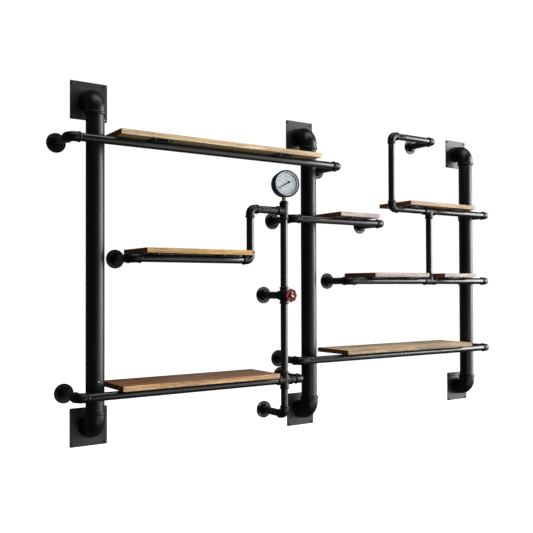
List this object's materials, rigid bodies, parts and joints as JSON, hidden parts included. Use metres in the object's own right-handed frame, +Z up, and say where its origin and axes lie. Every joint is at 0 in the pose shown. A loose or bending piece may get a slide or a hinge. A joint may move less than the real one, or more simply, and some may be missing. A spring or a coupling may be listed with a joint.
{
  "type": "pipe shelving unit",
  "caption": "Wall-mounted shelving unit: wooden boards on black threaded pipework beside large pipe uprights, with a pressure gauge and a handwheel valve on its riser.",
  "frame": {"origin": "centre of the left upright's lower wall plate, on the wall face", "axes": "+X along the wall to the right as seen from the room, +Y into the wall, +Z up"},
  "size_m": [1.9943, 0.19, 1.224],
  "materials": {
    "wood": "oiled pine boards with darker end grain",
    "plate_steel": "satin black painted flat steel",
    "black_iron": "satin black cast fittings",
    "black_pipe": "satin black painted pipe",
    "red_enamel": "dark red enamel on cast metal",
    "bright_steel": "bright zinc plated",
    "black_case": "semi-gloss black",
    "dial_white": "printed white dial",
    "glass": "clear",
    "brass": "machined",
    "pointer_black": "satin black"
  },
  "bodies": {
    "frame": {"arm_nipples": "black_pipe", "board_bottom_left": "wood", "board_bottom_right": "wood", "board_middle_left": "wood", "board_middle_right_long": "wood", "board_middle_right_short": "wood", "board_top_centre": "wood", "board_top_left": "wood", "board_top_right": "wood", "bottom_left_pipe": "black_pipe", "bottom_left_stub": "black_pipe", "bottom_right_pipe": "black_pipe", "branch_pipe": "black_pipe", "centre_riser_pipes": "black_pipe", "centre_upright_elbows": "black_iron", "centre_upright_pipe": "black_pipe", "gauge_bezel": "black_case", "gauge_bushing": "black_iron", "gauge_case": "black_case", "gauge_dial": "dial_white", "gauge_glass": "glass", "gauge_movement": "brass", "gauge_socket": "brass", "left_pipe_elbows": "black_iron", "left_upright_elbows": "black_iron", "left_upright_pipe": "black_pipe", "link_post": "black_pipe", "loop_riser": "black_pipe", "loop_top_pipe": "black_pipe", "middle_left_pipe": "black_pipe", "middle_left_riser": "black_pipe", "middle_right_pipes": "black_pipe", "packing_nut": "black_iron", "pipe_cross": "black_iron", "pipe_tees": "black_iron", "right_pipe_elbows": "black_iron", "right_upright_elbows": "black_iron", "right_upright_pipe": "black_pipe", "saddle_plates": "plate_steel", "top_centre_pipe": "black_pipe", "top_left_pipe": "black_pipe", "top_right_pipes": "black_pipe", "upright_nipples": "black_pipe", "valve_body": "black_iron", "valve_bonnet": "black_iron", "wall_flanges": "black_iron", "wall_plates": "plate_steel"},
    "handwheel": {"handwheel": "red_enamel", "handwheel_nut": "bright_steel", "valve_stem": "bright_steel"},
    "valve_plug": {"valve_plug": "brass"},
    "gauge_pointer": {"gauge_pointer": "pointer_black"}
  },
  "joints": [
    {"name": "handwheel_turn", "type": "hinge", "parent": "frame", "child": "handwheel", "pos_m": [0.694, -0.1395, 0.4255], "axis": [0, -1, 0], "range_deg": [0, 1080]},
    {"name": "plug_travel", "type": "slide", "parent": "frame", "child": "valve_plug", "axis": [0, -1, 0], "range_m": [0, 0.0121]},
    {"name": "pointer_turn", "type": "hinge", "parent": "frame", "child": "gauge_pointer", "pos_m": [0.694, -0.1395, 0.8337], "axis": [0.225, 0.9744, 0], "range_deg": [-16, 254], "stiffness_Nm_per_rad": 0.001}
  ],
  "couplings": [
    {"joint": "plug_travel", "follows": "handwheel_turn", "m_per_rad": 0.00063662}
  ]
}
